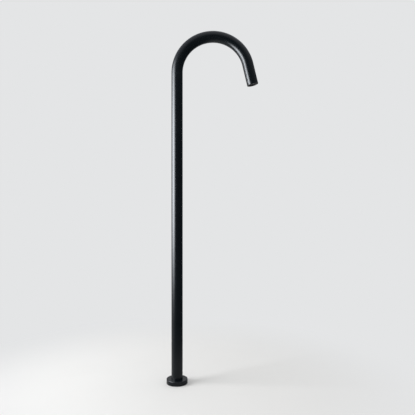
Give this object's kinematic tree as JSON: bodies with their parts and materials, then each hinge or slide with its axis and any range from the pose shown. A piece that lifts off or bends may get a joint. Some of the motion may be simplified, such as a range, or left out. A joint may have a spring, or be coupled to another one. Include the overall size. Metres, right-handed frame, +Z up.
{
  "type": "freestanding bath spout",
  "caption": "Floor-standing gooseneck bath spout: a bent tube that swivels on a floor post, with a sliding round cover over its fixings and an aerator in its mouth.",
  "frame": {"origin": "on the riser's axis at floor level, at the centre of the floor fixings", "axes": "+Z up along the riser, +X from the riser towards the outlet, +Y to the side"},
  "size_m": [0.2606, 0.06, 1.0351],
  "materials": {
    "black_coated_steel": "satin",
    "black_plastic": "satin",
    "grid_plastic": "satin",
    "bearing_plastic": "satin",
    "black_rubber": "matte",
    "turned_brass": "satin",
    "stainless_steel": "satin"
  },
  "bodies": {
    "base": {"swivel_post": "turned_brass", "floor_flange": "stainless_steel", "floor_gasket": "black_rubber", "floor_screws": "stainless_steel", "inlet_seal": "black_rubber", "thrust_washer": "bearing_plastic", "lower_glide_ring": "bearing_plastic", "upper_glide_ring": "bearing_plastic", "lower_seal_ring": "black_rubber", "upper_seal_ring": "black_rubber"},
    "spout": {"spout_tube": "black_coated_steel", "swivel_sleeve": "turned_brass", "retaining_screws": "stainless_steel", "nose_insert": "turned_brass", "aerator_seal": "black_rubber", "strainer_screen": "bearing_plastic", "jet_plate": "bearing_plastic", "flow_grid": "grid_plastic", "aerator_housing": "black_plastic"},
    "cover": {"base_cover": "black_coated_steel", "cover_grip_ring": "black_rubber"}
  },
  "joints": [
    {"name": "spout_swivel", "type": "hinge", "parent": "base", "child": "spout", "pos_m": [0, 0, 0.035], "axis": [0, 0, 1], "range_deg": [-60, 60]},
    {"name": "cover_slide", "type": "slide", "parent": "base", "child": "cover", "axis": [0, 0, 1], "range_m": [0, 0.86]}
  ]
}
